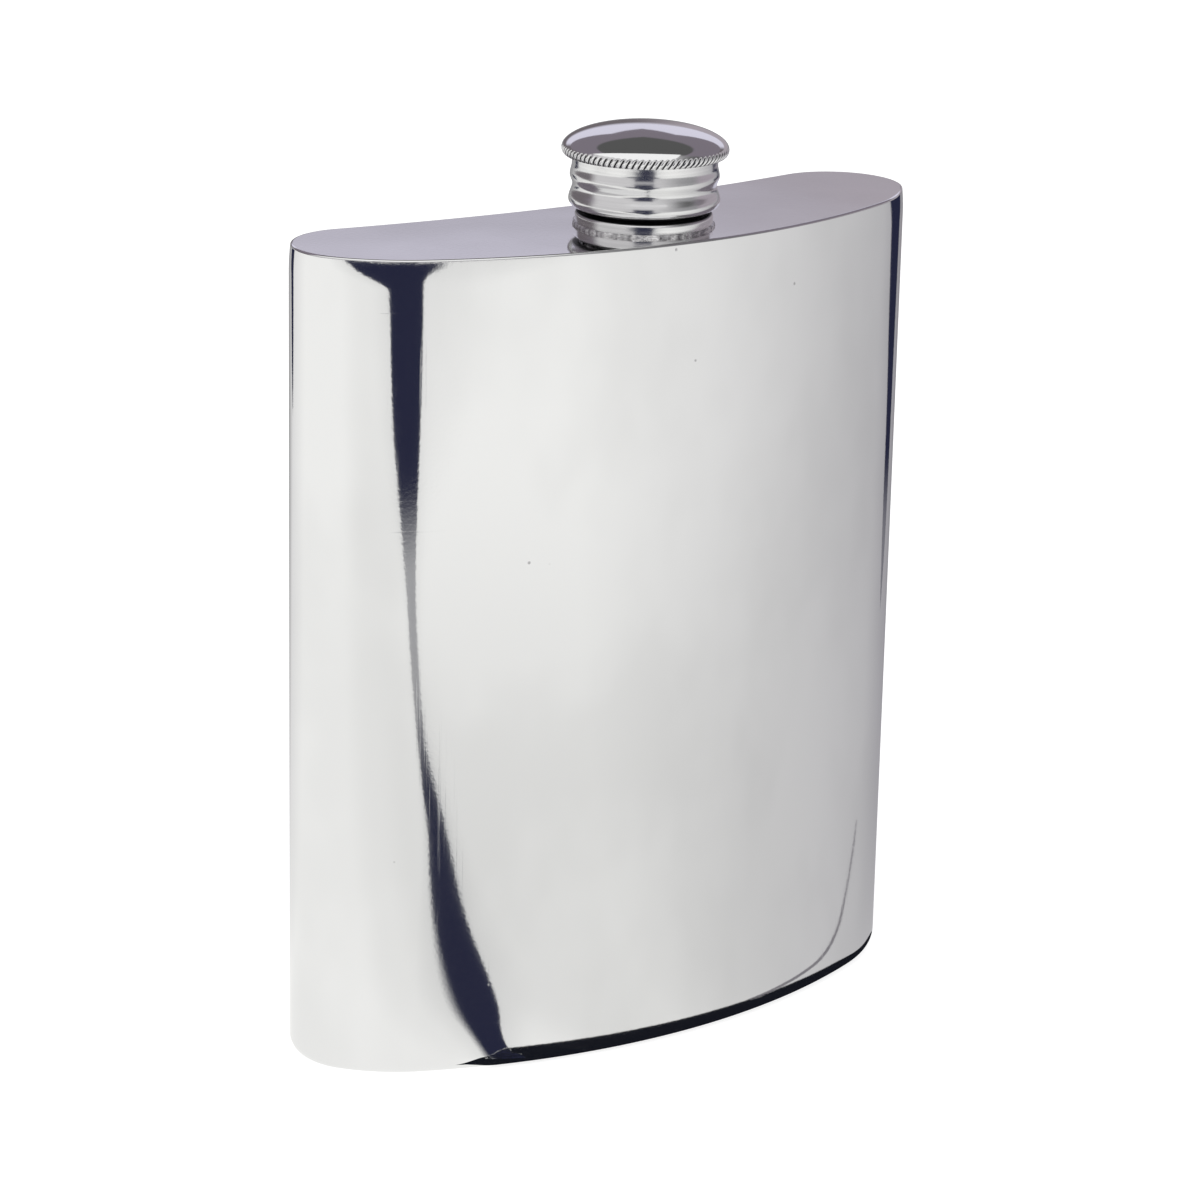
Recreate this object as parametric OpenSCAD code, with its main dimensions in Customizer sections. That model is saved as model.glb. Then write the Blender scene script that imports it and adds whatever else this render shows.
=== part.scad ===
// Curved pocket hip flask with a screw cap, in polished pewter.
// +Z is up, the rounded front faces -Y, and the hollow back faces +Y.
// The origin is the middle of the plan's box, on the surface that the flask stands on.

/* [Body] */
// Width of the body across its two rounded ends
body_w = 95; // [85:1:110]
// Thickness of the body in the middle
body_t = 26.8; // [24:0.2:29]
// Height of the body from its base to its top plate
body_h = 111; // [80:1:150]
// Radius of the bulging front
front_r = 92; // [80:1:120]
// Radius of the shoulders beside the front
shoulder_r = 23; // [20:0.5:26]
// Radius of the two ends
end_r = 9.4; // [8.5:0.1:10.5]
// Angle from the front at which a shoulder meets an end
shoulder_to = 53; // [50:1:56]
// Thickness of the sheet that the two panels are bent from
sheet_t = 1; // [0.8:0.1:1.5]
// Thickness of the top and base plates
plate_t = 1.2; // [1:0.1:2]
// Width of the soldered line that joins the panels at each end
seam_w = 0.8; // [0.4:0.1:1.2]
// Leg of the solder fillet inside the top and base corners
fillet_leg = 1.2; // [0.6:0.1:2]

/* [Neck] */
// Place of the neck's axis from the front (negative) to the back
neck_y = -2.7; // [-3.2:0.1:-2]
// Radius of the hole that the drink pours through
mouth_r = 6.3; // [5.8:0.1:6.4]
// Radius of the collar that sits on the top plate
collar_r = 9.05; // [8.8:0.05:9.4]
// Height of the collar
collar_h = 1.8; // [1.2:0.1:1.9]
// Height of the neck's lip above the top plate
neck_h = 9.4; // [9:0.1:10]
// Rise of the thread in one turn
thread_pitch = 2.5; // [2:0.1:3]
// Mean radius of the thread on the neck
thread_r = 7.75; // [7.65:0.05:7.8]
// Half the depth of the thread
thread_e = 0.35; // [0.2:0.05:0.35]
// Gap between the thread on the neck and the thread in the cap
thread_gap = 0.3; // [0.2:0.05:0.35]

/* [Cap] */
// Radius of the cap's rim
rim_r = 10.96; // [10.6:0.02:12]
// Height of the cap's lower edge above the top plate
skirt_low = 2.3; // [2.2:0.1:2.6]
// Height of the rim's underside above the top plate
rim_low = 9.2; // [9:0.1:9.4]
// Rise of the crown from the rim's underside to its middle
crown_h = 4.2; // [3.8:0.1:4.8]
// Thickness of the crown's domed sheet
crown_t = 1; // [0.8:0.1:1.2]
// Thickness of the sheet that the sleeve is spun from
sleeve_t = 0.5; // [0.4:0.05:0.55]
// Thickness of the cork disc that seals the mouth
liner_t = 1.2; // [1:0.1:1.2]

/* [Hidden] */
$fn = 96;

// The plan is a chain of arcs that meet tangentially: front, shoulder, end and hollow back.
front_to = asin((body_w / 2 - end_r - (shoulder_r - end_r) * sin(shoulder_to)) / (front_r - shoulder_r));
shoulder_x = (front_r - shoulder_r) * sin(front_to);
end_x = body_w / 2 - end_r;
front_to_shoulder_y = front_r - (front_r - shoulder_r) * cos(front_to);
front_to_end_y = front_to_shoulder_y - (shoulder_r - end_r) * cos(shoulder_to);
plan_d = front_to_end_y + end_r;
front_y = -plan_d / 2;
shoulder_y = front_y + front_to_shoulder_y;
end_y = front_y + front_to_end_y;

// The hollow back is a circle behind the flask that both ends touch from outside.
back_y = front_y + body_t;
back_lead = back_y - end_y;
back_r = (end_x * end_x + back_lead * back_lead - end_r * end_r) / (2 * (end_r - back_lead));
back_to = asin(end_x / (back_r + end_r));

seam_to = seam_w / 2 / end_r * 180 / PI;

pewter = [0.80, 0.80, 0.83];
bright = [0.90, 0.90, 0.92];
solder = [0.62, 0.62, 0.64];
cork = [0.74, 0.56, 0.38];

// Points of an arc of the plan, one for about every three degrees
function arc(x, y, r, from, to) = let (steps = ceil(abs(to - from) / 3))
  [for (i = [0:steps]) let (a = from + (to - from) * i / steps) [x + r * cos(a), y + r * sin(a)]];

// The right-hand half of the outline, pulled in by a distance: from the middle of the front to
// the seam, across the seam, and from the seam to the middle of the back
function front_half(pull) = concat(
  arc(0, front_y + front_r, front_r - pull, 270, 270 + front_to),
  arc(shoulder_x, shoulder_y, shoulder_r - pull, 270 + front_to, 270 + shoulder_to),
  arc(end_x, end_y, end_r - pull, 270 + shoulder_to, 360 - seam_to));
function seam_arc(pull) = arc(end_x, end_y, end_r - pull, 360 - seam_to, 360 + seam_to);
function back_half(pull) = concat(
  arc(end_x, end_y, end_r - pull, 360 + seam_to, 450 + back_to),
  arc(0, back_y + back_r, back_r + pull, 270 + back_to, 270));

function flip(points) = [for (i = [len(points) - 1:-1:0]) points[i]];
function mirrored(points) = [for (p = points) [-p[0], p[1]]];
// A half outline that starts at the middle, joined to its mirror image
function through(half) = concat(flip(mirrored(half)), [for (i = [1:len(half) - 1]) half[i]]);
function outline(pull) = concat(through(front_half(pull)), seam_arc(pull),
                                flip(through(flip(back_half(pull)))), flip(mirrored(seam_arc(pull))));

// A strip of sheet that stands on edge between two lines of points
module strip(outside, inside)
  translate([0, 0, plate_t]) linear_extrude(body_h - 2 * plate_t) polygon(concat(outside, flip(inside)));

module front_panel() color(bright) strip(through(front_half(0)), through(front_half(sheet_t)));
module back_panel() color(pewter)
  strip(through(flip(back_half(0))), through(flip(back_half(sheet_t))));
module right_seam() color(solder) strip(seam_arc(0), seam_arc(sheet_t));
module left_seam() color(solder) mirror([1, 0, 0]) strip(seam_arc(0), seam_arc(sheet_t));

module plate(low) translate([0, 0, low]) linear_extrude(plate_t) polygon(outline(0));

// Solder that has run into the inner corner between a plate and the panels
module fillet(low) color(solder) translate([0, 0, low]) linear_extrude(fillet_leg) difference() {
  polygon(outline(sheet_t));
  polygon(outline(sheet_t + fillet_leg));
}

module top_fillet() fillet(body_h - plate_t - fillet_leg);
module base_fillet() fillet(plate_t);

module at_neck() translate([0, neck_y, body_h]) children();

spigot_r = thread_r - thread_e;
module top_plate() color(pewter) difference() {
  plate(body_h - plate_t);
  at_neck() translate([0, 0, -2 * plate_t]) cylinder(r = spigot_r + 0.02, h = 4 * plate_t);
}

module base_plate() color(pewter) plate(0);

// A rolled thread: a round bar whose centre is off the axis by e, twisted along the axis
module thread(r, low, high)
  translate([0, 0, low]) rotate([0, 0, 360 * low / thread_pitch])
    linear_extrude(high - low, twist = -360 * (high - low) / thread_pitch,
                   slices = ceil(12 * (high - low) / thread_pitch), $fn = 24)
      translate([thread_e, 0]) circle(r);

lip_round = 0.3;
spigot_low = -1.8;
module neck() color(pewter) at_neck() difference() {
  union() {
    rotate_extrude() polygon([
      [mouth_r - 0.5, spigot_low], [spigot_r, spigot_low], [spigot_r, 0], [collar_r, 0],
      [collar_r, collar_h - 0.5], [collar_r - 0.25, collar_h - 0.1], [collar_r - 0.6, collar_h],
      [spigot_r, collar_h], [spigot_r, neck_h - lip_round], [spigot_r - lip_round, neck_h],
      [mouth_r - 0.5, neck_h]]);
    thread(thread_r, collar_h - 0.3, neck_h - 0.6);
  }
  translate([0, 0, 2 * spigot_low]) cylinder(r = mouth_r, h = 2 * neck_h);
}

// Bead of solder round the collar, standing on the top plate
solder_w = 0.35;
module neck_solder() color(solder) at_neck() rotate_extrude()
  polygon([[collar_r, 0], [collar_r + solder_w, 0], [collar_r + solder_w * 0.8, solder_w * 0.7],
           [collar_r, solder_w * 1.2]]);

// The crown: a domed sheet inside a solid rim, with a seat for the liner under the dome
seat_z = neck_h + liner_t;
recess_r = 8.6;
rim_profile = [[rim_r - 0.7, rim_low], [rim_r - 0.3, rim_low + 0.2], [rim_r - 0.05, rim_low + 0.6]];
rim_widest = 0.9;
// Points of a dome's half section, a quarter of an ellipse from its edge to its middle
function dome(r, low, high) = [for (a = [0:7.5:90]) [r * cos(a), low + (high - low) * sin(a)]];
module cap_crown() color(bright) at_neck() rotate_extrude() polygon(concat(
  [[recess_r, rim_low]], rim_profile, dome(rim_r, rim_low + rim_widest, rim_low + crown_h),
  flip(dome(recess_r, seat_z, rim_low + crown_h - crown_t))));

// Outline of the spun sleeve from its curled lower edge up to the rim
bead_low = [9.95, 3.4];
waist = [9.46, 5.4];
bead_high = [9.8, 6.6];
under_rim = [9.55, 8.1];
lip_r = thread_r + thread_e + 0.35;
// Smooth rise and fall from one turning point of the sleeve to the next
function swell(a, b, steps = 6) =
  [for (i = [1:steps]) let (u = i / steps) [a[0] + (b[0] - a[0]) * (1 - cos(180 * u)) / 2,
                                           a[1] + (b[1] - a[1]) * u]];
sleeve_out = concat(
  [[lip_r, skirt_low]],
  [for (a = [15:15:90]) [lip_r + (bead_low[0] - lip_r) * sin(a),
                         bead_low[1] - (bead_low[1] - skirt_low) * cos(a)]],
  swell(bead_low, waist), swell(waist, bead_high), swell(bead_high, under_rim),
  [[under_rim[0], rim_low]]);
sleeve_in_low = skirt_low + sleeve_t;
sleeve_in = concat(
  [[lip_r, sleeve_in_low], [waist[0] - sleeve_t, sleeve_in_low]],
  [for (p = sleeve_out) if (p[1] > sleeve_in_low + 0.1) [p[0] - sleeve_t, p[1]]]);
module cap_sleeve() color(pewter) at_neck() rotate_extrude()
  polygon(concat(sleeve_out, [for (i = [len(sleeve_in) - 1:-1:0]) sleeve_in[i]]));

// The threaded bush inside the sleeve, with a little play at the sleeve's waist
bush_play = 0.1;
bush_r = waist[0] - sleeve_t - bush_play;
bush_top = 8.6;
module cap_bush() color(pewter) at_neck() difference() {
  translate([0, 0, sleeve_in_low]) cylinder(r = bush_r, h = bush_top - sleeve_in_low);
  thread(thread_r + thread_gap, sleeve_in_low - thread_pitch / 4, bush_top + thread_pitch / 4);
}

// Ring of solder under the crown that holds the bush and fills the corner beside the sleeve
solder_play = 0.05;
cap_solder_r = under_rim[0] - sleeve_t - solder_play;
module cap_solder() color(solder) at_neck() rotate_extrude()
  translate([recess_r, bush_top]) square([cap_solder_r - recess_r, rim_low - bush_top]);

module cap_liner() color(cork) at_neck() translate([0, 0, neck_h])
  cylinder(r = recess_r - 0.3, h = liner_t);

front_panel();
back_panel();
left_seam();
right_seam();
top_plate();
base_plate();
top_fillet();
base_fillet();
neck();
neck_solder();
cap_crown();
cap_sleeve();
cap_bush();
cap_solder();
cap_liner();
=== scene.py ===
"""Visible surfaces, finishes and stage of a curved pocket hip flask in polished pewter.

Laid out as an add-on: property groups hold the sizes and colours, one operator makes each piece
or group of like pieces, and main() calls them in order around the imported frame.
"""
import math

import bmesh
import bpy
import numpy as np
from bpy.props import FloatProperty, FloatVectorProperty, IntProperty, PointerProperty
from mathutils import Matrix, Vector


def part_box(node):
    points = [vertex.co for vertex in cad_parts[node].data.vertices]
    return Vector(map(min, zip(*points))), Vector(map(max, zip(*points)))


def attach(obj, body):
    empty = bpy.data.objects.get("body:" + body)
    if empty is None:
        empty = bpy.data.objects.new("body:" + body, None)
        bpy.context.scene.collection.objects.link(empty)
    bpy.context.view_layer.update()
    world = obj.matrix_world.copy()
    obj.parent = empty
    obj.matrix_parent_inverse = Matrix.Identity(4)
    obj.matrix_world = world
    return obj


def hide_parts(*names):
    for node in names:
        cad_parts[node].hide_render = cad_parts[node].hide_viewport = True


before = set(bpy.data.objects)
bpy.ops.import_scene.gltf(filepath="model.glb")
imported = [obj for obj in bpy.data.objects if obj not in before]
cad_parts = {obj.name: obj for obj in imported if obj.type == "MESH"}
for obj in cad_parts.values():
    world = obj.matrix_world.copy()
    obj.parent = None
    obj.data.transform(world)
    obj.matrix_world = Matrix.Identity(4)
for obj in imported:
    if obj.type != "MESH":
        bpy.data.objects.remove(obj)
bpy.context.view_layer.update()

bl_info = {
    "name": "Pocket Hip Flask",
    "version": (1, 0, 0),
    "blender": (4, 5, 0),
    "location": "3D View > Sidebar > Flask",
    "description": "Makes a curved pewter hip flask with a screw cap, and the stage it stands on",
    "category": "Add Mesh",
}

MM = 0.001
MERGE = 1e-7
CRISP = math.radians(35)


def low(node):
    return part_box(node)[0]


def high(node):
    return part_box(node)[1]


def length(name, value, description):
    """A length in metres that a user may change."""
    return FloatProperty(name=name, description=description, default=value, unit="LENGTH",
                         precision=5)


def angle(name, degrees, description):
    """An angle in radians, given here in degrees."""
    return FloatProperty(name=name, description=description, default=math.radians(degrees),
                         unit="ROTATION")


def colour(name, value, description):
    """A linear colour without alpha."""
    return FloatVectorProperty(name=name, description=description, default=value, subtype="COLOR",
                               size=3, min=0, max=1)


def share(name, value, description):
    """A plain number from 0 to 1."""
    return FloatProperty(name=name, description=description, default=value, min=0, max=1)


# ---------------------------------------------------------------- sizes and colours


class FlaskBodySizes(bpy.types.PropertyGroup):
    """Sizes of the soldered body."""

    width: length("Width", high("front_panel").x - low("front_panel").x, "Across the two ends")
    depth: length("Depth", high("base_plate").y - low("base_plate").y, "From the front to the back")
    height: length("Height", high("top_plate").z, "From the base to the top plate")
    thickness: length("Thickness", 26.8 * MM, "From the front to the hollow back, in the middle")
    front_r: length("Front radius", 92 * MM, "Radius of the bulging front")
    shoulder_r: length("Shoulder radius", 23 * MM, "Radius of the shoulders beside the front")
    end_r: length("End radius", 9.4 * MM, "Radius of the two ends")
    shoulder_to: angle("Shoulder angle", 53, "Angle from the front where a shoulder meets an end")
    sheet: length("Sheet", 1.0 * MM, "Thickness of the panels")
    plate: length("Plate", high("base_plate").z, "Thickness of the top and base plates")
    seam: length("Seam", high("left_seam").y - low("left_seam").y, "Width of the soldered end seams")
    base_round: length("Base rounding", 2.4 * MM, "Radius of the filed edge round the base")
    top_round: length("Top rounding", 0.25 * MM, "Radius of the filed edge round the top")
    lean: angle("Top lean", 6.5, "How far the wall leans inwards where it meets the top")
    lean_reach: length("Lean reach", 3.8 * MM, "Height over which the wall leans in")
    hem: length("Hem", 0.03 * MM, "Width of the facets that keep the shading flat beside an edge")


class FlaskNeckSizes(bpy.types.PropertyGroup):
    """Sizes of the neck. Heights are above the top plate."""

    mouth_r: length("Mouth radius", 6.3 * MM, "Radius of the hole for the drink")
    collar_r: length("Collar radius", high("neck").x, "Radius of the collar on the top plate")
    collar: length("Collar height", 1.8 * MM, "Height of the collar")
    height: length("Neck height", high("neck").z - high("top_plate").z, "Height of the lip")
    spigot: length("Spigot depth", high("top_plate").z - low("neck").z, "How far the neck reaches down")
    thread_r: length("Thread radius", 7.75 * MM, "Mean radius of the thread")
    thread_e: length("Thread amplitude", 0.35 * MM, "Half the depth of the thread")
    thread_gap: length("Thread gap", 0.3 * MM, "Gap between the neck's thread and the cap's")
    pitch: length("Thread rise", 2.5 * MM, "Rise of the thread in one turn")
    solder: length("Solder width", high("neck_solder").x - high("neck").x, "Width of the solder ring")


class FlaskCapSizes(bpy.types.PropertyGroup):
    """Sizes of the cap. Heights are above the top plate."""

    rim_r: length("Rim radius", high("cap_crown").x, "Radius of the knurled rim")
    rim_low: length("Rim height", low("cap_crown").z - high("top_plate").z, "Height of its underside")
    rim_rise: length("Rim rise", 0.9 * MM, "Height of the widest place above the rim's underside")
    rim_tuck: length("Rim tuck", 0.7 * MM, "How far the rim curves in towards its underside")
    top: length("Crown height", high("cap_crown").z - high("top_plate").z, "Height of its middle")
    recess_r: length("Recess radius", 8.6 * MM, "Radius of the seat inside the crown")
    seat: length("Seat height", high("cap_liner").z - high("top_plate").z, "Top of the liner")
    crown: length("Crown sheet", 1.0 * MM, "Thickness of the domed sheet")
    skirt: length("Skirt height", low("cap_sleeve").z - high("top_plate").z, "Height of its edge")
    sleeve: length("Sleeve sheet", 0.5 * MM, "Thickness of the spun sleeve")
    strands: IntProperty(name="Strands", description="Strands of the rope edge", default=84, min=12)
    strand_depth: length("Strand depth", 0.3 * MM, "Depth of the grooves between the strands")
    strand_lean: angle("Strand lean", 30, "How far the strands lean from upright")


class FlaskFinishes(bpy.types.PropertyGroup):
    """Colours and finishes of the metals and the cork."""

    pewter: colour("Pewter", (0.86, 0.86, 0.86), "Reflection colour of the polished pewter")
    turned: colour("Turned pewter", (0.86, 0.86, 0.86), "Reflection colour of the turned pewter")
    # painted shade: near-black colour put in the rope's grooves and in the gap over the collar, where
    # shade falls
    painted_shade: colour("Painted shade", (0.05, 0.05, 0.055), "Colour of the tarnish in grooves and gaps")
    solder: colour("Solder", (0.62, 0.61, 0.63), "Reflection colour of the solder")
    cork: colour("Cork", (0.52, 0.32, 0.16), "Mean colour of the cork")
    cork_dark: colour("Cork grain", (0.16, 0.08, 0.035), "Colour of the cork's dark grains")
    gloss: share("Roughness", 0.03, "Roughness of the polished pewter")


class FlaskStage(bpy.types.PropertyGroup):
    """Camera, floor, lights and the dark cards that the metal mirrors."""

    azimuth: angle("Azimuth", -35.05, "Direction of the camera round the flask")
    elevation: angle("Elevation", 17.14, "Height of the camera over the flask")
    roll: angle("Roll", 1.22, "Tilt of the camera")
    distance: length("Distance", 571.2 * MM, "From the camera to the middle of the body")
    pan_x: length("Pan", -3.03 * MM, "Sideways place of the camera")
    pan_y: length("Lift", 3.56 * MM, "Upward place of the camera")
    lens: FloatProperty(name="Lens", description="Focal length in millimetres", default=126.6)
    floor: colour("Floor", (0.45, 0.45, 0.45), "Colour of the floor")
    card: colour("Card", (0.02, 0.022, 0.05), "Colour of the dark cards")
    soft_box: colour("Soft box", (1.0, 1.0, 1.0), "Colour of the soft box overhead")
    wall: colour("Walls", (0.66, 0.65, 0.66), "Colour of the lit walls")
    ceiling: colour("Ceiling", (0.10, 0.10, 0.10), "Colour of the dark ceiling behind")


def sizes():
    """The three size groups of the scene."""
    scene = bpy.context.scene
    return scene.flask_body, scene.flask_neck, scene.flask_cap


# ---------------------------------------------------------------- surfaces


def chain(arcs):
    """Points and outward normals along arcs that follow each other: centre plus radius times
    (cos a, sin a), with the normal reversed where the arc is hollow (sign -1)."""
    points, normals = [], []
    for x, y, radius, start, end, sign in arcs:
        steps = max(2, math.ceil(abs(end - start) / math.radians(1.5)),
                    math.ceil(abs(end - start) * radius / (0.8 * MM)))
        a = np.linspace(start, end, steps + 1)
        unit = np.stack((np.cos(a), np.sin(a)), 1)
        skip = 1 if points else 0
        points.append((np.array((x, y)) + radius * unit)[skip:])
        normals.append((sign * unit)[skip:])
    return np.concatenate(points), np.concatenate(normals)


def mirrored(line):
    """The same chain on the other side of x = 0, run backwards."""
    flip = np.array((-1, 1))
    return line[0][::-1] * flip, line[1][::-1] * flip


def joined(*lines):
    """Chains end to end, with each shared point kept once."""
    points, normals = lines[0]
    for p, n in lines[1:]:
        skip = 1 if np.allclose(points[-1], p[0], atol=MERGE) else 0
        points = np.concatenate((points, p[skip:]))
        normals = np.concatenate((normals, n[skip:]))
    return points, normals


def plan():
    """The chains of the plan, as a dict: front, right seam, back, left seam and the closed outline.
    The arcs touch tangentially: front, shoulder, end, then the hollow back, whose radius follows
    from the thickness in the middle."""
    s = sizes()[0]
    quarter, across = math.pi / 2, s.width / 2 - s.end_r
    front_to = math.asin((across - (s.shoulder_r - s.end_r) * math.sin(s.shoulder_to))
                         / (s.front_r - s.shoulder_r))
    front = -s.depth / 2
    shoulder_x = (s.front_r - s.shoulder_r) * math.sin(front_to)
    shoulder_y = front + s.front_r - (s.front_r - s.shoulder_r) * math.cos(front_to)
    end_y = shoulder_y - (s.shoulder_r - s.end_r) * math.cos(s.shoulder_to)
    back = front + s.thickness
    lead = back - end_y
    back_r = (across ** 2 + lead ** 2 - s.end_r ** 2) / (2 * (s.end_r - lead))
    back_to = math.asin(across / (back_r + s.end_r))
    seam_to = s.seam / 2 / s.end_r
    down = 3 * quarter
    half_front = chain([(0, front + s.front_r, s.front_r, down, down + front_to, 1),
                        (shoulder_x, shoulder_y, s.shoulder_r,
                         down + front_to, down + s.shoulder_to, 1),
                        (across, end_y, s.end_r, down + s.shoulder_to, 4 * quarter - seam_to, 1)])
    half_back = chain([(across, end_y, s.end_r, seam_to, quarter + back_to, 1),
                       (0, back + back_r, back_r, down + back_to, down, -1)])
    seam = chain([(across, end_y, s.end_r, -seam_to, seam_to, 1)])
    lines = {"front": joined(mirrored(half_front), half_front), "right": seam,
             "back": joined(half_back, mirrored(half_back)), "left": mirrored(seam)}
    points, normals = joined(lines["front"], seam, lines["back"], lines["left"])
    lines["outline"] = points[:-1], normals[:-1]
    return lines


def swept(line, section):
    """A section of (distance out, height) carried along a chain: point plus normal times distance."""
    points, normals = line
    out, z = np.asarray(section, float).T
    flat = points[:, None, :] + normals[:, None, :] * out[None, :, None]
    return np.concatenate((flat, np.broadcast_to(z[None, :, None], flat.shape[:2] + (1,))), 2)


def turned(profile, steps, centre, wave=None):
    """A profile of (radius, height) turned about the upright axis at centre: (r cos a, r sin a, z).
    wave(a, r, z) gives an amount that is added to the radius."""
    r, z = (v[None, :] for v in np.asarray(profile, float).T)
    a = np.linspace(0, 2 * math.pi, steps, endpoint=False)[:, None]
    radius = r + (wave(a, r, z) if wave else 0 * a)
    grid = np.stack((radius * np.cos(a), radius * np.sin(a), np.broadcast_to(z, radius.shape)), 2)
    return grid + np.asarray(centre)


def quads(rows, columns, wrap_rows, wrap_columns):
    """Corner numbers of the quads of a grid, each direction closed on itself if it wraps."""
    i = np.arange(rows if wrap_rows else rows - 1)[:, None]
    j = np.arange(columns if wrap_columns else columns - 1)[None, :]
    i2, j2 = (i + 1) % rows, (j + 1) % columns
    corners = (i * columns + j, i2 * columns + j, i2 * columns + j2, i * columns + j2)
    return np.stack([np.broadcast_to(c, (i.size, j.size)) for c in corners], 2).reshape(-1, 4)


def make(name, grid, wraps, body, finish, stands_for):
    """One closed piece from a grid of points: doubles merged, normals outward, soft shading with
    the sharper edges left crisp. It rides on its body and stands for its CAD node."""
    mesh = bpy.data.meshes.new(name)
    mesh.from_pydata(grid.reshape(-1, 3).tolist(), [], quads(*grid.shape[:2], *wraps).tolist())
    work = bmesh.new()
    work.from_mesh(mesh)
    bmesh.ops.remove_doubles(work, verts=work.verts, dist=MERGE)
    bmesh.ops.dissolve_degenerate(work, edges=work.edges, dist=1e-8)
    bmesh.ops.recalc_face_normals(work, faces=work.faces)
    open_edges = sum(1 for e in work.edges if not e.is_manifold)
    work.to_mesh(mesh)
    work.free()
    if open_edges:
        raise RuntimeError(f"{name} has {open_edges} edges that don't close")
    mesh.polygons.foreach_set("use_smooth", np.ones(len(mesh.polygons), bool))
    mesh.set_sharp_from_angle(angle=CRISP)
    mesh.materials.append(finish)
    piece = bpy.data.objects.new(name, mesh)
    bpy.context.scene.collection.objects.link(piece)
    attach(piece, body)
    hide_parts(stands_for)
    return piece


def quarter_round(radius, steps=8):
    """Offsets (in, up) along a quarter of a circle, from (radius, 0) to (0, radius): the radius
    times one less the sine and one less the cosine."""
    a = np.linspace(0, math.pi / 2, steps + 1)
    return np.stack((radius * (1 - np.sin(a)), radius * (1 - np.cos(a))), 1)


def base_inset(z, radius):
    """How far the outer face stands in at a height below the base rounding's top: the radius less
    the root of its square less the square of the drop."""
    drop = np.clip(radius - z, 0, radius)
    return radius - np.sqrt(radius ** 2 - drop ** 2)


def top_inset(z, s):
    """How far the wall leans in near the top: it grows with the square of the height above the
    place where the lean starts, and ends at the lean's angle."""
    rise = np.clip(z - (s.height - s.lean_reach), 0, None)
    return math.tan(s.lean) * rise ** 2 / (2 * s.lean_reach)


def swell(start, end, steps=14):
    """Points from one turning point of the sleeve to the next: the radius follows half a cosine."""
    u = np.linspace(0, 1, steps + 1)[1:]
    r = start[0] + (end[0] - start[0]) * (1 - np.cos(math.pi * u)) / 2
    return np.stack((r, start[1] + (end[1] - start[1]) * u), 1)


def dome(radius, edge, middle, steps):
    """Profile of a dome from its edge to its middle, a quarter of an ellipse: the radius times the
    cosine, and the rise times the sine."""
    a = np.linspace(0, math.pi / 2, steps + 1)
    return np.stack((radius * np.cos(a), edge + (middle - edge) * np.sin(a)), 1)


def smooth(low_edge, high_edge, x):
    """0 below low_edge, 1 above high_edge and between them three times the share squared less
    twice the share cubed."""
    t = np.clip((x - low_edge) / (high_edge - low_edge), 0, 1)
    return t * t * (3 - 2 * t)


def neck_centre():
    """Point where the neck's axis meets the top plate."""
    middle = (low("cap_liner") + high("cap_liner")) / 2
    return middle.x, middle.y, high("top_plate").z


# ---------------------------------------------------------------- finishes


class Wire:
    """A shader socket that can be added to, multiplied and so on: each adds one Math node."""

    def __init__(self, maker, socket):
        self.maker, self.socket = maker, socket

    def math(self, operation, *values):
        return self.maker.node("ShaderNodeMath", {"operation": operation}, dict(enumerate(values)))

    def __add__(self, other):
        return self.math("ADD", self, other)

    def __mul__(self, other):
        return self.math("MULTIPLY", self, other)

    def __sub__(self, other):
        return self.math("SUBTRACT", self, other)

    def __rsub__(self, other):
        return self.math("SUBTRACT", other, self)

    def __truediv__(self, other):
        return self.math("DIVIDE", self, other)

    def __rtruediv__(self, other):
        return self.math("DIVIDE", other, self)

    __radd__, __rmul__ = __add__, __mul__

    def __abs__(self):
        return self.math("ABSOLUTE", self)

    def root(self):
        return self.math("SQRT", self)

    def power(self, exponent):
        return self.math("POWER", self, exponent)

    def at_most(self, limit):
        return self.math("MINIMUM", self, limit)

    def step(self, start, end):
        """0 before start, 1 after end, smooth between."""
        values = {"Value": self, "From Min": start, "From Max": end}
        return self.maker.node("ShaderNodeMapRange", {"interpolation_type": "SMOOTHSTEP"}, values)


class Nodes:
    """A node tree under construction."""

    def __init__(self, tree):
        self.tree = tree

    def plug(self, socket, value):
        if isinstance(value, Wire):
            self.tree.links.new(value.socket, socket)
        else:
            socket.default_value = value

    def node(self, kind, settings, values, output=0):
        """A node of any type: its settings first, then its sockets, and the wire of one output."""
        made = self.tree.nodes.new(kind)
        for key, value in settings.items():
            setattr(made, key, value)
        for key, value in values.items():
            self.plug(made.inputs[key], value)
        return Wire(self, made.outputs[output])

    def split(self, vector):
        """The three parts of a vector."""
        parts = self.node("ShaderNodeSeparateXYZ", {}, {0: vector}).socket.node
        return [Wire(self, output) for output in parts.outputs]

    def mix(self, factor, first, second):
        """A blend of two colours, each a wire or three numbers."""
        first, second = ((*c, 1) if isinstance(c, tuple) else c for c in (first, second))
        values = {0: factor, 6: first, 7: second}
        return self.node("ShaderNodeMix", {"data_type": "RGBA"}, values, 2)


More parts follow.
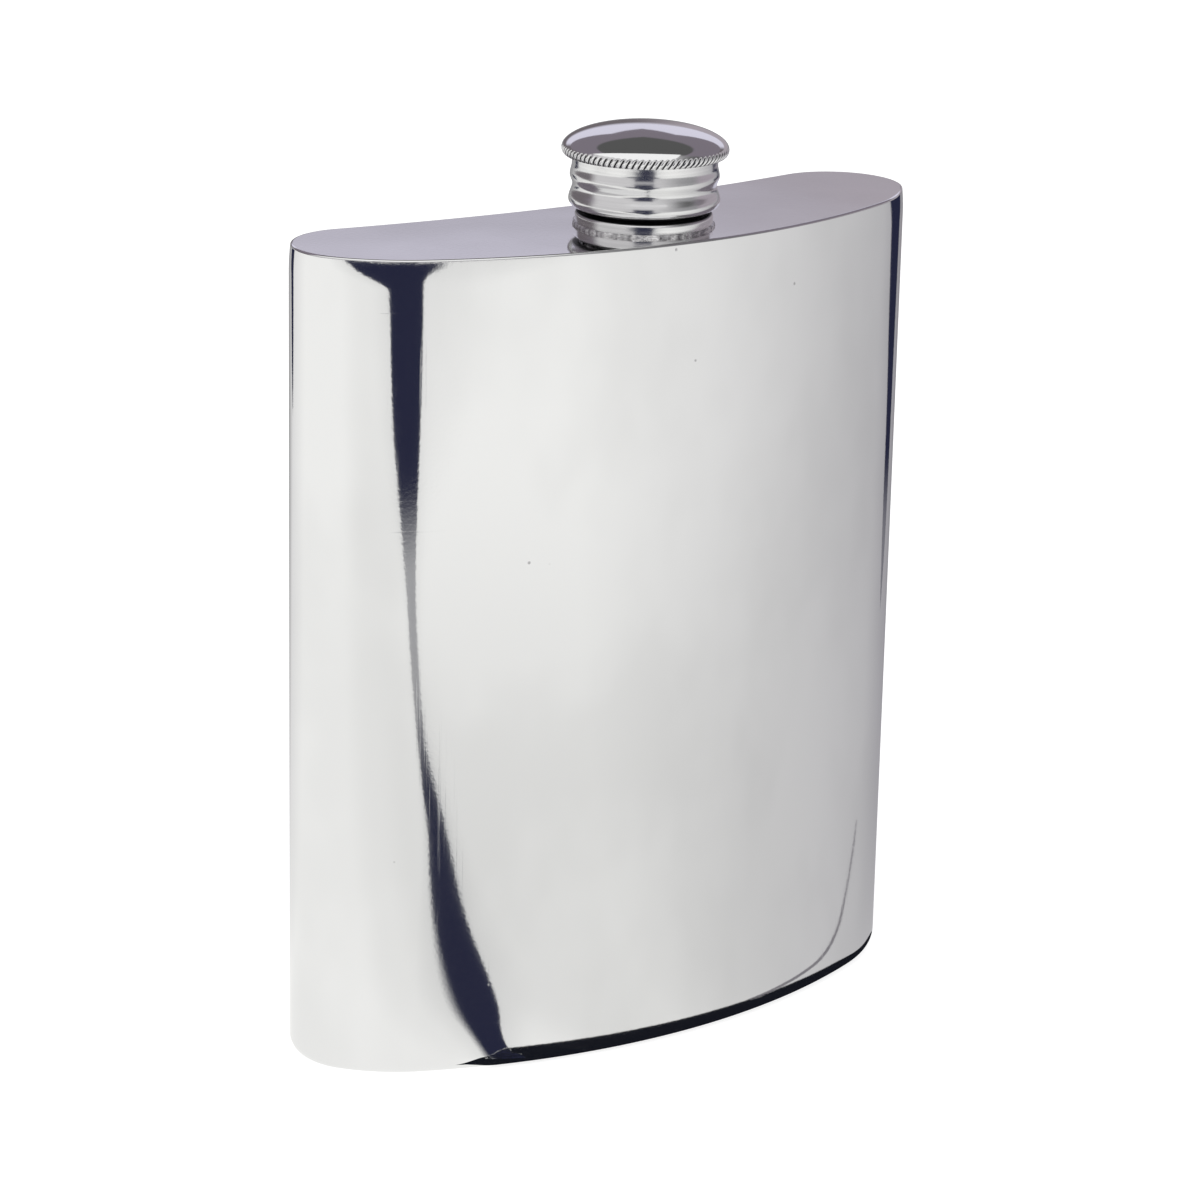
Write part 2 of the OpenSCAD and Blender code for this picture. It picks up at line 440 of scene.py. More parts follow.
class Finish(Nodes):
    """A material under construction, with its Principled shader and its Object coordinates."""

    def __init__(self, name, base, metallic, roughness):
        self.material = bpy.data.materials.new(name)
        self.material.use_nodes = True
        super().__init__(self.material.node_tree)
        self.shader = self.tree.nodes["Principled BSDF"]
        self.set("Base Color", (*base, 1))
        self.set("Metallic", metallic)
        self.set("Roughness", roughness)
        self.place = self.node("ShaderNodeTexCoord", {}, {}, "Object")

    def set(self, socket, value):
        """A value or a wire on one of the shader's sockets."""
        self.plug(self.shader.inputs[socket], value)

    def centred(self, centre, scale=(1, 1, 1)):
        """Object coordinates moved to a centre and stretched."""
        kind = "ShaderNodeVectorMath"
        moved = self.node(kind, {"operation": "SUBTRACT"}, {0: self.place, 1: centre})
        return self.node(kind, {"operation": "MULTIPLY"}, {0: moved, 1: scale})

    def noise(self, vector, scale, detail=2.0, roughness=0.5):
        """Noise from 0 to 1 over a vector."""
        values = {"Vector": vector, "Scale": scale, "Detail": detail, "Roughness": roughness}
        return self.node("ShaderNodeTexNoise", {}, values)

    def bump(self, height, depth, normal=None):
        """A normal from a height in which 1 stands for depth metres."""
        values = {"Height": height, "Distance": depth, "Strength": 1.0}
        if normal:
            values["Normal"] = normal
        return self.node("ShaderNodeBump", {}, values)


def rgb(value):
    return tuple(value)


def polished_pewter(name):
    """Bright pewter: hairlines along and across, a few pits, faint smudges and a slight waviness
    left by hand polishing."""
    s = bpy.context.scene.flask_finishes
    f = Finish(name, rgb(s.pewter), 1.0, s.gloss)
    upright = f.noise(f.centred((0, 0, 0), (5200, 5200, 45)), 1.0, 1.0)
    level = f.noise(f.centred((0.3, 0.1, 0.2), (40, 40, 4600)), 1.0, 1.0)
    patch = f.noise(f.place, 55.0, 2.0)
    hairs = upright.step(0.66, 0.74) * patch.step(0.42, 0.62)
    hairs = hairs + level.step(0.67, 0.75) * (1 - patch).step(0.45, 0.65)
    spots = f.node("ShaderNodeTexVoronoi", {}, {"Vector": f.place, "Scale": 420.0}, "Distance")
    rare = f.noise(f.place, 160.0, 1.0).step(0.68, 0.74)
    pits = (1 - spots.step(0.05, 0.12)) * rare
    smudge = f.noise(f.centred((0.5, 0.2, 0.1), (38, 38, 22)), 1.0, 3.0, 0.6)
    f.set("Roughness", s.gloss + smudge * 0.05 + hairs * 0.05 + pits * 0.25)
    cloudy = f.mix(smudge.step(0.4, 0.65), rgb(s.pewter), tuple(0.94 * c for c in s.pewter))
    f.set("Base Color", f.mix(pits, cloudy, (0.5, 0.5, 0.5)))
    wavy = f.bump(f.noise(f.place, 42.0, 1.0), 0.05 * MM)
    grain = f.bump(f.noise(f.place, 2200.0, 1.0), 0.0018 * MM, wavy)
    f.set("Normal", f.bump((hairs * -0.12) - pits, 0.006 * MM, grain))
    return f.material


def roped_pewter(name):
    """Bright pewter of the cap's top, with painted shade: the grooves between the rim's strands are
    coloured near-black.
    """
    s, cap = bpy.context.scene.flask_finishes, bpy.context.scene.flask_cap
    f = Finish(name, rgb(s.pewter), 1.0, s.gloss)
    x, y, z = f.split(f.centred(neck_centre()))
    lean = math.tan(cap.strand_lean) / cap.rim_r
    turn = (y.math("ARCTAN2", y, x) - z * lean) * (cap.strands / 2)
    strand = abs(turn.math("SINE", turn))
    band = z.step(cap.rim_low - 0.1 * MM, cap.rim_low + 0.1 * MM)
    band = band * (1 - z.step(cap.rim_low + 1.1 * MM, cap.rim_low + 1.4 * MM))
    # painted shade: the grooves between the strands get the near-black colour, where shade falls in
    # them
    groove = (1 - strand).step(0.3, 0.75) * band
    smudge = f.noise(f.place, 300.0, 3.0, 0.6)
    f.set("Base Color", f.mix(groove, rgb(s.pewter), rgb(s.painted_shade)))
    f.set("Roughness", s.gloss + smudge * 0.05 + groove * 0.3)
    f.set("Normal", f.bump(f.noise(f.place, 2200.0, 1.0), 0.0012 * MM))
    return f.material


def turned_pewter(name):
    """Pewter turned on a lathe: fine rings round the axis, with brighter and duller bands, and painted
    shade:
    the gap over the collar, where the threaded neck lies in shadow, is coloured near-black."""
    s = bpy.context.scene.flask_finishes
    f = Finish(name, rgb(s.turned), 1.0, 0.2)
    x, y, z = f.split(f.centred(neck_centre()))
    radius = (x * x + y * y).root()
    rings = f.node("ShaderNodeCombineXYZ", {}, {"X": radius, "Z": z})
    fine = f.noise(rings, 14000.0, 2.0, 0.6)
    bands = f.noise(rings, 2600.0, 2.0)
    uneven = f.noise(f.place, 500.0, 2.0)
    # painted shade: the band between the collar and the cap's edge is coloured near-black for the
    # shadow over the threaded neck
    gap = z.step(1.5 * MM, 1.75 * MM) * (1 - z.step(2.4 * MM, 2.65 * MM))
    f.set("Roughness", 0.09 + fine * 0.08 + bands * 0.08 + gap * 0.3)
    worn = f.mix(bands.step(0.35, 0.65), tuple(0.92 * c for c in s.turned), rgb(s.turned))
    f.set("Base Color", f.mix(gap, worn, rgb(s.painted_shade)))
    f.set("Normal", f.bump(bands + uneven * 3, 0.005 * MM))
    return f.material


def solder(name):
    """Soft solder: duller than the pewter, grainy, with bright and dark flecks."""
    s = bpy.context.scene.flask_finishes
    f = Finish(name, rgb(s.solder), 1.0, 0.22)
    grain = f.noise(f.place, 2600.0, 3.0, 0.65)
    blotch = f.noise(f.place, 1300.0, 2.0)
    f.set("Roughness", 0.22 + grain * 0.3)
    dark, bright = tuple(0.6 * c for c in s.solder), (0.86, 0.85, 0.85)
    f.set("Base Color", f.mix(blotch.step(0.3, 0.7), dark, bright))
    f.set("Normal", f.bump(grain + blotch * 0.6, 0.03 * MM))
    return f.material


def pressed_cork(name):
    """Cork: a warm ground with darker grains and small open cells."""
    s = bpy.context.scene.flask_finishes
    f = Finish(name, rgb(s.cork), 0.0, 0.85)
    cells = f.node("ShaderNodeTexVoronoi", {}, {"Vector": f.place, "Scale": 900.0}, "Distance")
    grain = f.noise(f.place, 1100.0, 4.0, 0.6)
    f.set("Base Color", f.mix(grain.step(0.52, 0.66), rgb(s.cork), rgb(s.cork_dark)))
    f.set("Roughness", 0.75 + grain * 0.2)
    f.set("Normal", f.bump(cells + grain, 0.12 * MM))
    return f.material


def glowing(name, base=(0, 0, 0), roughness=1.0, strength=1.0):
    """A matt finish of the stage that gives off its own light and has no gloss."""
    f = Finish(name, base, 0.0, roughness)
    f.set("Specular IOR Level", 0.0)
    f.set("Emission Color", (1, 1, 1, 1))
    f.set("Emission Strength", strength)
    return f


def finish(name):
    """A finish by name, made once. The loaded parts' plain materials have the bare names."""
    makers = {"polished_pewter": polished_pewter, "turned_pewter": turned_pewter,
              "roped_pewter": roped_pewter, "solder": solder, "cork": pressed_cork}
    own_name = name + "_finish"
    return bpy.data.materials.get(own_name) or makers[name](own_name)


# ---------------------------------------------------------------- operators


class FLASK_OT_panels(bpy.types.Operator):
    """Front and back panels and the solder lines that join them at the ends"""

    bl_idname = "flask.panels"
    bl_label = "Panels and end seams"

    def execute(self, context):
        s = sizes()[0]
        lines = plan()
        lowest, highest = s.plate, s.height - s.plate
        z = np.concatenate(([lowest], np.linspace(lowest + s.hem, s.base_round, 10),
                            np.linspace(s.base_round, s.height - s.lean_reach, 20)[1:],
                            np.linspace(s.height - s.lean_reach, highest - s.hem, 14)[1:], [highest]))
        outer = -base_inset(z, s.base_round) - top_inset(z, s)
        section = np.concatenate((np.stack((outer, z), 1),
                                  np.stack((np.full(z.size, -s.sheet), z), 1)[::-1]))
        # each end is shut by a section drawn together inside the sheet
        shut = section.copy()
        shut[:, 0] = -0.6 * s.sheet
        polish = finish("polished_pewter")
        for name, line, stands_for, slot in (("panel_front", "front", "front_panel", "polished_pewter"),
                                             ("panel_back", "back", "back_panel", "polished_pewter"),
                                             ("seam_left", "left", "left_seam", "solder"),
                                             ("seam_right", "right", "right_seam", "solder")):
            points, normals = lines[line]
            ends = [swept((points[k:k + 1], normals[k:k + 1]), shut) for k in (0, len(points) - 1)]
            grid = np.concatenate((ends[0], swept(lines[line], section), ends[1]))
            make(name, grid, (False, True), "flask", polish, stands_for)
        return {"FINISHED"}


def plate_grid(rim, hole_r, centre, low_z, high_z):
    """A plate as a ring of sections: each runs over the top from the hole to the outline, down the
    rim and back under the plate to the hole. Points between are blended in a straight line."""
    points, normals = plan()["outline"]
    toward = points - np.asarray(centre)
    hole = np.asarray(centre) + hole_r * toward / np.linalg.norm(toward, axis=1)[:, None]
    between = (0.0, 0.35, 0.7)
    rows = []
    for t in between:
        rows.append((hole * (1 - t) + (points + normals * rim[0][0]) * t, high_z))
    for out, z in rim:
        rows.append((points + normals * out, z))
    for t in reversed(between):
        rows.append((hole * (1 - t) + (points + normals * rim[-1][0]) * t, low_z))
    return np.stack([np.column_stack((flat, np.full(len(flat), z))) for flat, z in rows], 1)


class FLASK_OT_plates(bpy.types.Operator):
    """Flat top plate with the hole for the neck, and flat base plate with its rounded edge"""

    bl_idname = "flask.plates"
    bl_label = "Top and base plates"

    def execute(self, context):
        s, neck, _ = sizes()
        x, y, top = neck_centre()
        corner = quarter_round(s.top_round)
        edge = [(s.top_round + s.hem, top)] + [(a, top - b) for a, b in corner[::-1]]
        edge += [(0, z) for z in np.linspace(top - s.top_round - s.hem, top - s.plate + s.hem, 6)]
        edge += [(0, top - s.plate)]
        rim = [(-a - top_inset(z, s), z) for a, z in edge]
        grid = plate_grid(rim, neck.thread_r - neck.thread_e, (x, y), top - s.plate, top)
        slot, polish = "polished_pewter", finish("polished_pewter")
        make("plate_top", grid, (True, True), "flask", polish, "top_plate")
        z = np.concatenate(([s.plate], np.linspace(s.plate - s.hem, 0, 12)))
        rim = [(-inset, height) for inset, height in zip(base_inset(z, s.base_round), z)]
        grid = plate_grid(rim, 0.0, (x, y), 0.0, s.plate)
        make("plate_base", grid, (True, False), "flask", polish, "base_plate")
        return {"FINISHED"}


def helix(amount, pitch):
    """Wave of a rolled thread: amount times the cosine of the angle less the turns climbed."""
    return lambda a, r, z: amount(z) * np.cos(a - 2 * math.pi * z / pitch)


class FLASK_OT_neck(bpy.types.Operator):
    """Turned neck with its collar, right-hand thread and lip"""

    bl_idname = "flask.neck"
    bl_label = "Neck"

    def execute(self, context):
        """A turned profile whose shaft carries the thread's wave, which runs out at both ends."""
        s = sizes()[1]
        core = s.thread_r - s.thread_e
        start, end = s.collar + 0.2 * MM, s.height - 0.5 * MM
        run_out, collar_round, bevel = 0.8 * MM, 0.5 * MM, 0.2 * MM

        def amount(z):
            return s.thread_e * smooth(start, start + run_out, z) * (1 - smooth(end - run_out, end, z))

        z = np.linspace(start, end, 72)
        shaft = np.stack((core + amount(z), z), 1)
        collar = [(s.collar_r - 0.12 * MM, 0), (s.collar_r, 0.15 * MM)]
        collar += [(s.collar_r - a, s.collar - b) for a, b in quarter_round(collar_round)[::-1]]
        lip = [(core - a, s.height - b) for a, b in quarter_round(0.3 * MM)[::-1]]
        lip += [(s.mouth_r + a, s.height - b) for a, b in quarter_round(0.25 * MM)]
        profile = np.concatenate((
            [(s.mouth_r, -s.spigot + bevel), (s.mouth_r + bevel, -s.spigot),
             (core - bevel, -s.spigot), (core, -s.spigot + bevel), (core, 0)],
            collar, [(core + 0.25 * MM, s.collar), (core, s.collar + 0.1 * MM)], shaft, lip))
        z = np.linspace(s.height - 0.6 * MM, -s.spigot + 1 * MM, 12)
        inner = np.stack((np.full(z.size, s.mouth_r), z), 1)
        wave = helix(lambda h: np.where((h > start) & (h < end), amount(h), 0), s.pitch)

        def outside(a, r, z):
            return np.where(r > core - 1e-6, wave(a, r, z), 0)

        grid = turned(np.concatenate((profile, inner)), 288, neck_centre(), outside)
        make("neck_turned", grid, (True, True), "flask",
             finish("turned_pewter"), "neck")
        return {"FINISHED"}


class FLASK_OT_neck_solder(bpy.types.Operator):
    """Rough ring of solder round the foot of the neck"""

    bl_idname = "flask.neck_solder"
    bl_label = "Neck solder"

    def execute(self, context):
        """A low ring whose section is a quarter of an ellipse, roughened by smoothed noise."""
        s = sizes()[1]
        steps, rows = 720, 10
        rng = np.random.default_rng(11)
        rough = rng.normal(size=(steps, rows))
        wide = rng.normal(size=steps)
        for _ in range(2):
            rough = (np.roll(rough, 1, 0) + rough + np.roll(rough, -1, 0)) / 3
        for _ in range(30):
            wide = (np.roll(wide, 1) + wide + np.roll(wide, -1)) / 3
        a = np.linspace(0, math.pi / 2, rows)
        width, tall = 0.8 * s.solder, 0.42 * MM
        inner = s.collar_r - 0.15 * MM
        section = np.stack((s.collar_r + width * np.cos(a), tall * np.sin(a)), 1)
        profile = np.concatenate((section, [(inner, tall), (inner, 0)]))
        grain = np.zeros((steps, rows + 2))
        grain[:, 1:rows] = (rough[:, 1:] * 0.06 + wide[:, None] * 0.10) * MM
        grid = turned(profile, steps, neck_centre(), lambda angles, radius, height: grain)
        grid[:, 1:rows, 2] += np.clip(grain[:, 1:rows] * 0.8, 0, None)
        grid[..., 2] = np.clip(grid[..., 2], None, high("neck_solder").z)
        make("neck_joint", grid, (True, True), "flask", finish("solder"), "neck_solder")
        return {"FINISHED"}


class FLASK_OT_crown(bpy.types.Operator):
    """Domed crown of the cap with its rope edge"""

    bl_idname = "flask.crown"
    bl_label = "Crown"

    def execute(self, context):
        """A dome over a rim that curves in below; leaning grooves cut the rim's lower half into
        strands. With t = strands / 2 (angle - lean z), a groove is as deep as 1 - |sin t|^0.6."""
        s = sizes()[2]
        widest = s.rim_low + s.rim_rise
        a = np.linspace(math.pi / 2, 0, 14)
        under_rim = np.stack((s.rim_r - s.rim_tuck * (1 - np.cos(a)),
                              widest - s.rim_rise * np.sin(a)), 1)
        top = dome(s.rim_r, widest, s.top, 52)[1:]
        seat = dome(s.recess_r, s.seat, s.top - s.crown, 12)[::-1]
        profile = np.concatenate((seat, [(s.recess_r, s.rim_low)], under_rim, top))
        lean = math.tan(s.strand_lean) / s.rim_r

        def rope(angles, r, z):
            band = smooth(s.rim_low - 0.15 * MM, s.rim_low + 0.3 * MM, z)
            band = band * (1 - smooth(s.rim_low + 1.05 * MM, s.rim_low + 1.45 * MM, z))
            band = band * (r > s.recess_r + 0.5 * MM)
            strand = np.abs(np.sin(s.strands / 2 * (angles - lean * z)))
            return -s.strand_depth * band * (1 - strand ** 0.6)

        grid = turned(profile, s.strands * 10, neck_centre(), rope)
        make("cap_top", grid, (True, False), "cap",
             finish("roped_pewter"), "cap_crown")
        return {"FINISHED"}


class FLASK_OT_sleeve(bpy.types.Operator):
    """Spun sleeve of the cap with its two beads"""

    bl_idname = "flask.sleeve"
    bl_label = "Sleeve"

    def execute(self, context):
        """Two beads with a waist between them over a lower edge that curls in."""
        _, neck, s = sizes()
        edge_r = neck.thread_r + neck.thread_e + 0.35 * MM
        bead_low, waist = (9.95 * MM, 3.4 * MM), (9.46 * MM, 5.4 * MM)
        bead_high, under_rim = (9.8 * MM, 6.6 * MM), (9.55 * MM, 8.1 * MM)
        a = np.linspace(0, math.pi / 2, 16)
        curl = np.stack((edge_r + (bead_low[0] - edge_r) * np.sin(a),
                         bead_low[1] - (bead_low[1] - s.skirt) * np.cos(a)), 1)
        outer = np.concatenate((curl, swell(bead_low, waist), swell(waist, bead_high),
                                swell(bead_high, under_rim), [(under_rim[0], s.rim_low + 0.3 * MM)]))
        inner = outer - np.array((s.sleeve, 0))
        floor = s.skirt + s.sleeve
        inner = inner[inner[:, 1] > floor + 0.1 * MM]
        inner = np.concatenate(([(edge_r, floor), (waist[0] - s.sleeve, floor)], inner))
        grid = turned(np.concatenate((outer, inner[::-1])), 256, neck_centre())
        make("cap_skirt", grid, (True, True), "cap",
             finish("turned_pewter"), "cap_sleeve")
        return {"FINISHED"}


class FLASK_OT_bush(bpy.types.Operator):
    """Threaded bush inside the cap"""

    bl_idname = "flask.bush"
    bl_label = "Bush"

    def execute(self, context):
        """A plain ring with the same right-hand thread inside, a constant gap off the neck's."""
        neck = sizes()[1]
        outer_r = high("cap_bush").x
        base, top = (f("cap_bush").z - high("top_plate").z for f in (low, high))
        z = np.linspace(base, top, 64)
        inner = np.stack((np.full(z.size, neck.thread_r + neck.thread_gap), z), 1)
        profile = np.concatenate(([(outer_r, top), (outer_r, base)], inner))
        bore = (outer_r + neck.thread_r) / 2 + 0.2 * MM
        wave = helix(lambda h: neck.thread_e * np.ones_like(h), neck.pitch)

        def inside(a, r, h):
            return np.where(r < bore, wave(a, r, h), 0)

        grid = turned(profile, 192, neck_centre(), inside)
        make("cap_thread", grid, (True, True), "cap",
             finish("turned_pewter"), "cap_bush")
        return {"FINISHED"}


class FLASK_OT_liner(bpy.types.Operator):
    """Cork disc that seals the mouth"""

    bl_idname = "flask.liner"
    bl_label = "Liner"

    def execute(self, context):
        """A disc with softened edges whose faces are dented by the product of two crossed sines."""
        _, neck, s = sizes()
        radius = high("cap_liner").x
        base, top, soft = neck.height, s.seat, 0.2 * MM
        rim = [(radius - a, base + b) for a, b in quarter_round(soft)]
        rim += [(radius - a, top - b) for a, b in quarter_round(soft)[::-1]]
        flat = np.linspace(0, radius - soft, 20)
        profile = np.concatenate((np.stack((flat, np.full(20, base)), 1), rim,
                                  np.stack((flat, np.full(20, top)), 1)[::-1]))
        grid = turned(profile, 128, neck_centre())
        x, y = grid[..., 0], grid[..., 1]
        dent = np.sin(2900 * x + 1700 * y) * np.sin(2300 * y - 900 * x) * 0.04 * MM
        middle = neck_centre()[2] + (base + top) / 2
        grid[..., 2] -= np.sign(grid[..., 2] - middle) * np.abs(dent)
        make("cap_cork", grid, (True, False), "liner", finish("cork"), "cap_liner")
        return {"FINISHED"}


class FLASK_OT_hidden_joints(bpy.types.Operator):
    """Solder finish for the joints inside the body and the cap, whose CAD shapes are kept"""

    bl_idname = "flask.hidden_joints"
    bl_label = "Inner solder"

    def execute(self, context):
        for name in ("top_fillet", "base_fillet", "cap_solder"):
            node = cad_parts[name]
            node.data.materials.clear()
            node.data.materials.append(finish("solder"))
        return {"FINISHED"}


def heading(degrees):
    """Level unit vector at an angle from the front (-Y) towards +X."""
    return math.sin(math.radians(degrees)), -math.cos(math.radians(degrees))


def rounded(line, times=3):
    """A line of points with its corners cut again and again, which leaves a smooth curve."""
    p = np.asarray(line, float)
    for _ in range(times):
        near, far = 0.75 * p[:-1] + 0.25 * p[1:], 0.25 * p[:-1] + 0.75 * p[1:]
        p = np.concatenate((p[:1], np.stack((near, far), 1).reshape(-1, 2), p[-1:]))
    return p


class FLASK_OT_stage(bpy.types.Operator):
    """Camera, pale floor, studio light and the dark cards that the polished metal mirrors"""

    bl_idname = "flask.stage"
    bl_label = "Stage"

    def execute(self, context):
        s = context.scene.flask_stage
        self.camera(s)
        self.floor(s)
        self.lamp()
        self.cards(s)
        self.sky(s)
        context.scene.view_settings.view_transform = "Standard"
        return {"FINISHED"}

    def camera(self, s):
        """The camera looks along minus back, (sin az cos el, -cos az cos el, sin el), at the middle
        of the body, and is then moved sideways and up."""
        az, el, roll = s.azimuth, s.elevation, s.roll
        back = np.array((math.sin(az) * math.cos(el), -math.cos(az) * math.cos(el), math.sin(el)))
        right = np.cross(-back, (0, 0, 1))
        right /= np.linalg.norm(right)
        up = np.cross(right, -back)
        x = math.cos(roll) * right + math.sin(roll) * up
        y = math.cos(roll) * up - math.sin(roll) * right
        aim = np.array((0, 0, 0.055))
        place = aim + x * s.pan_x + y * s.pan_y + back * s.distance
        data = bpy.data.cameras.new("camera")
        data.lens, data.sensor_width = s.lens, 36
        data.clip_start, data.clip_end = 0.01, 50
        camera = bpy.data.objects.new("camera", data)
        axes = np.column_stack((x, y, back, place))
        camera.matrix_world = Matrix(np.vstack((axes, (0, 0, 0, 1))).tolist())
        bpy.context.scene.collection.objects.link(camera)
        bpy.context.scene.camera = camera

    def ribbon(self, name, left, right, z, material):
        """A level sheet between two lines of points in millimetres, with its share of the way
        across and along in its UV map."""
        sides = np.stack((rounded(left), rounded(right)), 1) * MM
        across = np.linspace(0, 1, 9)[None, :, None]
        flat = sides[:, :1] * (1 - across) + sides[:, 1:] * across
        grid = np.concatenate((flat, np.full(flat.shape[:2] + (1,), z)), 2)
        rows, columns = grid.shape[:2]
        mesh = bpy.data.meshes.new(name)
        corners = quads(rows, columns, False, False)
        mesh.from_pydata(grid.reshape(-1, 3).tolist(), [], corners.tolist())
        u, v = corners % columns / (columns - 1), corners // columns / (rows - 1)
        uv = mesh.uv_layers.new(name="across_along")
        uv.data.foreach_set("uv", np.stack((u, v), 2).ravel())
        mesh.materials.append(material)
        return self.place(name, mesh)

    def place(self, name, mesh):
        """A stage object that only mirrors see."""
        made = bpy.data.objects.new(name, mesh)
        bpy.context.scene.collection.objects.link(made)
        made.visible_camera = made.visible_diffuse = made.visible_shadow = False
        return made

    def level_sheet(self, name, z, material):
        """A square sheet much wider than the flask, lying level at a height."""
        half = 8.0
        corners = [(-half, -half, z), (half, -half, z), (half, half, z), (-half, half, z)]
        mesh = bpy.data.meshes.new(name)
        mesh.from_pydata(corners, [], [(0, 1, 2, 3)])
        mesh.materials.append(material)
        return self.place(name, mesh)

    def floor(self, s):
        """The pale floor, and just under it the glow that the metal mirrors in its place. With c
        the cosine of the angle from the soft box, the glow's level is (0.74 (c + 1))^0.6. It is
        shaded in front, close to the flask, and a little towards three darker sides of the room."""
        floor = self.level_sheet("floor", 0, glowing("floor", rgb(s.floor), 0.9, 0.85).material)
        floor.visible_camera, floor.visible_glossy = True, False
        glow = glowing("floor_glow")
        x, y, _ = glow.split(glow.place)
        away = (x * x + y * y).root()

        def cosine(degrees):
            a, b = heading(degrees)
            return (x * a + y * b) / (away + 1 * MM)

        level = ((cosine(-60) + 1) * 0.74).at_most(1.0).power(0.6)
        # painted shadow: the glow is darker in front, close to the flask, in place of the flask's
        # shadow on the floor; it is also darker towards three sides of the room
        shade = (1 - away.step(0.02, 0.36)) * cosine(10).step(0.4, 0.85) * 0.17
        for side, start, depth in ((-52, 0.93, 0.07), (-205, 0.75, 0.45), (95, 0.6, 0.05)):
            shade = shade + cosine(side).step(start, 1.0) * depth
        lit = glow.mix(level, (0.36, 0.35, 0.38), (0.98, 0.98, 0.965))
        glow.set("Emission Color", glow.mix(shade, lit, (0, 0, 0)))
        self.level_sheet("floor_glow", -0.2 * MM, glow.material)

    def lamp(self):
        """A wide soft lamp overhead that lights the floor; the metal sees the sky instead."""
        light = bpy.data.lights.new("overhead", "AREA")
        light.shape, light.size, light.energy = "SQUARE", 2.4, 60
        lamp = bpy.data.objects.new("overhead", light)
        lamp.location = (-0.8, -1.2, 4)
        lamp.visible_glossy = False
        bpy.context.scene.collection.objects.link(lamp)

    def cards(self, s):
        """Dark cards just under the floor, in millimetres: a long strip in front, which widens far
        off, with a haze at its sides, a wedge to the right, a far one behind, a thin painted shadow
        along the front of the base and a faint line that meets it."""
        under = -0.1 * MM
        dark = self.dark("card", s.card, 0.12, 0.06)
        strip = self.dark("card_soft", s.card, 0.05, 0.06, 1.0, 0.25)
        faint = self.dark("card_haze", s.card, 0.5, 0.5, 0.16)
        left = [(-28, -12), (-31, -21), (-40, -36), (-50, -71), (-61, -113), (-97, -155),
                (-151, -219), (-266, -290), (-342, -379), (-583, -463), (-1057, -571),
                (-2260, -975), (-7200, -2400)]
        right = [(-22, -12), (-26, -21), (-26, -38), (-39, -73), (-54, -115), (-82, -159),
                 (-127, -229), (-144, -352), (-174, -467), (-239, -688), (-290, -1142),
                 (-469, -2390), (-1338, -7394)]
        self.ribbon("card_strip", left, right, under, strip)
        left, right = np.array(left), np.array(right)
        across = right - left
        wider = left - 0.7 * across, right + 0.9 * across
        self.ribbon("card_strip_haze", *wider, under - 0.05 * MM, faint)
        left = [(200, 50), (275, 60), (355, 78), (460, 66), (1500, 60)]
        right = [(204, 58), (255, 106), (333, 150), (435, 215), (1400, 900)]
        self.ribbon("card_right", left, right, under, dark)
        left = [(-95, 350), (-135, 420), (-330, 1200)]
        right = [(-85, 350), (-50, 420), (60, 1200)]
        self.ribbon("card_behind", left, right, under, dark)
        # painted shadow: a near-black card along the front of the base, which the base's rounding
        # mirrors in place of the flask's contact shadow on the floor
        shade = self.dark("base_shade", (0.008, 0.009, 0.014), 0.04, 0.01)
        points, normals = plan()["front"]
        kept = points[:, 0] > -32 * MM
        points, normals = points[kept] / MM, normals[kept]
        along = np.linspace(0, 1, len(points))
        taper = smooth(0, 0.09, along) * (1 - smooth(0.88, 1, along))
        out = 7.5 * taper * (1 - 0.8 * along)
        inner, outer = points - 3 * taper[:, None] * normals, points + out[:, None] * normals
        self.ribbon("base_shadow_card", outer, inner, under, shade)
        line = np.array([(18, -18), (28, -16), (42, -13), (71, -14), (98, -14)])
        pale = self.dark("line", (0.2, 0.19, 0.21), 0.3, 0.3)
        self.ribbon("card_line", line, line + (0, 0.9), under, pale)

    def dark(self, name, shade, left, right, strength=1.0, softer=0.0):
        """A dark card finish whose sides fade out over a share of the width. It is thinner some
        way off, and its left side may be softer close to the flask."""
        f = glowing(name)
        f.set("Emission Color", (*shade, 1))
        u = f.split(f.node("ShaderNodeUVMap", {}, {}))[0]
        x, y, _ = f.split(f.place)
        away = (x * x + y * y).root()
        thin = away.step(0.13, 0.19) * (1 - away.step(0.25, 0.32)) * 0.45
        close = (1 - away.step(0.04, 0.11)) * softer
        f.set("Alpha", u.step(0, close + left) * (1 - u).step(0, right) * (1 - thin) * strength)
        return f.material

    def sky(self, s):
        """What the metal mirrors above the floor, worked out from the direction: lit walls in front,
        a bright band low down behind with a dark ceiling over it, the soft box overhead, and the
        dark figure of whoever holds the camera. Each has its limits in z, the upward part of the
        direction, and in the part along a level heading."""
        world = bpy.data.worlds.new("studio")
        bpy.context.scene.world = world
        world.use_nodes = True
        n = Nodes(world.node_tree)
        x, y, z = n.split(n.node("ShaderNodeTexCoord", {}, {}, "Generated"))

        def along(degrees):
            a, b = heading(degrees)
            return x * a + y * b

